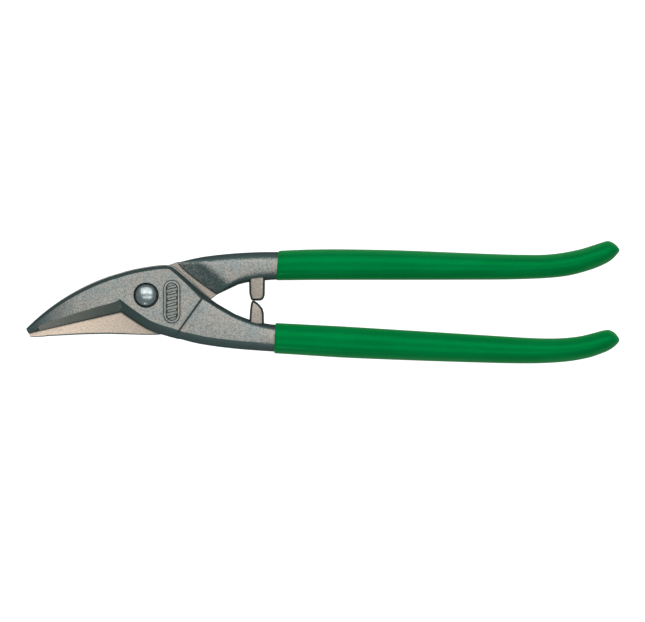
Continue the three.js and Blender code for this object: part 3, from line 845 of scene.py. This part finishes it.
ZINC = plated("zinc_plate", (0.4, 0.42, 0.425), (0.29, 0.325, 0.345), rough=0.17, hammered=0.22)
bolt = as_object(bolt_bm, "domed_pivot_bolt", [ZINC])
smooth_shade(bolt)
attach(bolt, "front_half")
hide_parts("pivot_bolt")


# ---------- spring washer ----------
# A dished spring-steel disc under the nut. It keeps the two blades pressed together as they slide.

disc_corner = (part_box("spring_washer")[1] - PIVOT) / MM
DISC, disc_top = disc_corner.x, disc_corner.z
DISC_HOLE, DISC_WALL, DISH = 3.25, 0.7, 0.3
disc_under = disc_top - DISC_WALL
washer_bm = turned([
    (DISC_HOLE, disc_under - DISH), (DISC - 0.15, disc_under), (DISC, disc_under + 0.15),
    (DISC, disc_top - 0.12), (DISC - 0.12, disc_top), (DISC_HOLE, disc_top - DISH),
    (DISC_HOLE, disc_under - DISH),
])
washer = as_object(washer_bm, "dished_spring_washer", [ZINC])
smooth_shade(washer)
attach(washer, "front_half")
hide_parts("spring_washer")


# ---------- lock nut ----------
# A plated hexagon nut, chamfered by turning at both ends, with a pocket for its nylon ring.

nut_lo, nut_hi = ((corner - PIVOT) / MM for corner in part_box("lock_nut"))
FLATS = nut_hi.x - nut_lo.x
CORNER = FLATS / math.sqrt(3)  # from the middle to a corner
CHAMFER = 0.5
NUT_BORE, RING_POCKET, POCKET_DEPTH = 3.1, 4.2, 1.45
nut_bm = bmesh.new()
bmesh.ops.create_circle(nut_bm, cap_ends=True, segments=6, radius=CORNER)
half_a_side = Matrix.Rotation(math.radians(30), 3, "Z")
bmesh.ops.rotate(nut_bm, verts=nut_bm.verts, cent=(0, 0, 0), matrix=half_a_side)
bmesh.ops.translate(nut_bm, verts=nut_bm.verts, vec=(0, 0, nut_lo.z))
drawn_up = bmesh.ops.extrude_face_region(nut_bm, geom=nut_bm.faces[:])["geom"]
nut_top = [g for g in drawn_up if isinstance(g, bmesh.types.BMVert)]
bmesh.ops.translate(nut_bm, verts=nut_top, vec=(0, 0, nut_hi.z - nut_lo.z))
bmesh.ops.recalc_face_normals(nut_bm, faces=nut_bm.faces)
nut = as_object(nut_bm, "hexagon_lock_nut", [ZINC])
turning = turned([
    (0, nut_lo.z - 0.01), (CORNER - 1.1, nut_lo.z - 0.01), (CORNER + 0.05, nut_lo.z + CHAMFER + 0.1),
    (CORNER + 0.05, nut_hi.z - CHAMFER), (CORNER - 1.0, nut_hi.z + 0.01), (0, nut_hi.z + 0.01),
], 96)
nut_bore = bored(NUT_BORE, nut_lo.z - 1, nut_hi.z + 1)
ring_pocket = bored(RING_POCKET, nut_lo.z - 1, nut_lo.z + POCKET_DEPTH)
join_and_cut(nut, within=[turning])
join_and_cut(nut, removed=[nut_bore, ring_pocket])
smooth_shade(nut)
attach(nut, "front_half")
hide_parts("lock_nut")


# ---------- nylon ring ----------
# The blue nylon insert of the lock nut. The bolt presses its thread into it, so the nut stays where it is set.

ring_lo, ring_hi = ((corner - PIVOT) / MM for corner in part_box("nut_locking_ring"))
RING_BORE = THREAD + 0.05
insert_bm = turned([
    (RING_BORE, ring_lo.z + 0.15), (RING_BORE + 0.15, ring_lo.z), (ring_hi.x - 0.2, ring_lo.z),
    (ring_hi.x, ring_lo.z + 0.2), (ring_hi.x, ring_hi.z), (RING_BORE, ring_hi.z), (RING_BORE, ring_lo.z + 0.15),
])


def nylon():
    """Blue plastic with a faint cloud in it and a slightly grainy moulded skin."""
    material, tree, shader = new_material("blue_nylon")
    grain = use(tree, GRAIN, Grain_Size=0.3, Mottle_Size=2.0)
    colour = blend_colour(tree, grain["Mottle"], (0.016, 0.08, 0.36, 1), (0.03, 0.12, 0.45, 1))
    tree.links.new(colour, shader.inputs["Base Color"])
    tree.links.new(spread(tree, grain["Shade"], 0, 1, 0.38, 0.55), shader.inputs["Roughness"])
    add_relief(tree, shader, grain["Height"], 0.15, 0.05)
    return material


insert = as_object(insert_bm, "nylon_locking_ring", [nylon()])
smooth_shade(insert)
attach(insert, "front_half")
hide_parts("nut_locking_ring")


# ---------- floor, lights and camera ----------
# A pale bench top under four soft lights, with the camera straight above the tool.

MIDDLE = 0.08  # the middle of the tool's length, in metres
FLOOR_DROP = 0.0004
floor_bm = bmesh.new()
bmesh.ops.create_grid(floor_bm, x_segments=1, y_segments=1, size=1.5)
bmesh.ops.translate(floor_bm, verts=floor_bm.verts, vec=(MIDDLE, 0, cad_box[0].z - FLOOR_DROP))
floor_mesh = bpy.data.meshes.new("bench_top")
floor_bm.to_mesh(floor_mesh)
floor_bm.free()
floor_obj = bpy.data.objects.new("bench_top", floor_mesh)
bpy.context.scene.collection.objects.link(floor_obj)
pale, tree, shader = new_material("pale_bench")
shader.inputs["Base Color"].default_value = (0.4, 0.4, 0.4, 1)
shader.inputs["Roughness"].default_value = 0.9
shader.inputs["Emission Color"].default_value = (1, 1, 1, 1)
seen = node(tree, "ShaderNodeLightPath").outputs["Is Camera Ray"]
tree.links.new(seen, shader.inputs["Emission Strength"])
floor_mesh.materials.append(pale)


def soft_light(name, over, lean, away, length, depth, brightness):
    """A soft light above X = over, leaning towards +Y by so many degrees from straight above."""
    middle = Vector((over, 0, 0))
    data = bpy.data.lights.new(name, "AREA")
    data.shape = "RECTANGLE"
    data.size = length
    data.size_y = depth
    data.energy = brightness * math.pi * length * depth
    lamp = bpy.data.objects.new(name, data)
    angle = math.radians(lean)
    lamp.location = middle + away * Vector((0, math.sin(angle), math.cos(angle)))
    lamp.rotation_euler = (middle - lamp.location).to_track_quat("-Z", "Y").to_euler()
    bpy.context.scene.collection.objects.link(lamp)


soft_light("overhead_softbox", over=0.15, lean=19, away=2.2, length=3.0, depth=0.85, brightness=2.4)
soft_light("second_softbox", over=0.4, lean=-12, away=2.2, length=2.2, depth=0.5, brightness=2.1)
soft_light("rear_softbox", over=0.0, lean=43, away=2.2, length=3.2, depth=1.0, brightness=1.4)
soft_light("low_strip", over=-0.26, lean=-63, away=1.9, length=0.4, depth=0.3, brightness=5.0)

world = bpy.data.worlds.new("studio")
world.use_nodes = True
sky = world.node_tree.nodes["Background"]
sky.inputs["Color"].default_value = (0.76, 0.95, 0.94, 1)
sky.inputs["Strength"].default_value = 0.37
bpy.context.scene.world = world
bpy.context.scene.view_settings.view_transform = "Standard"

camera_data = bpy.data.cameras.new("camera")
camera_data.lens = 200
camera_data.sensor_width = 36
camera = bpy.data.objects.new("camera", camera_data)
FRAME_WIDTH = 0.2986  # the width of the view at the joint plane
FRAME_CENTRE = 0.0814, -0.0073  # from the pivot
stand_off = FRAME_WIDTH * camera_data.lens / camera_data.sensor_width
camera.location = PIVOT + Vector((*FRAME_CENTRE, stand_off))
bpy.context.scene.collection.objects.link(camera)
bpy.context.scene.camera = camera
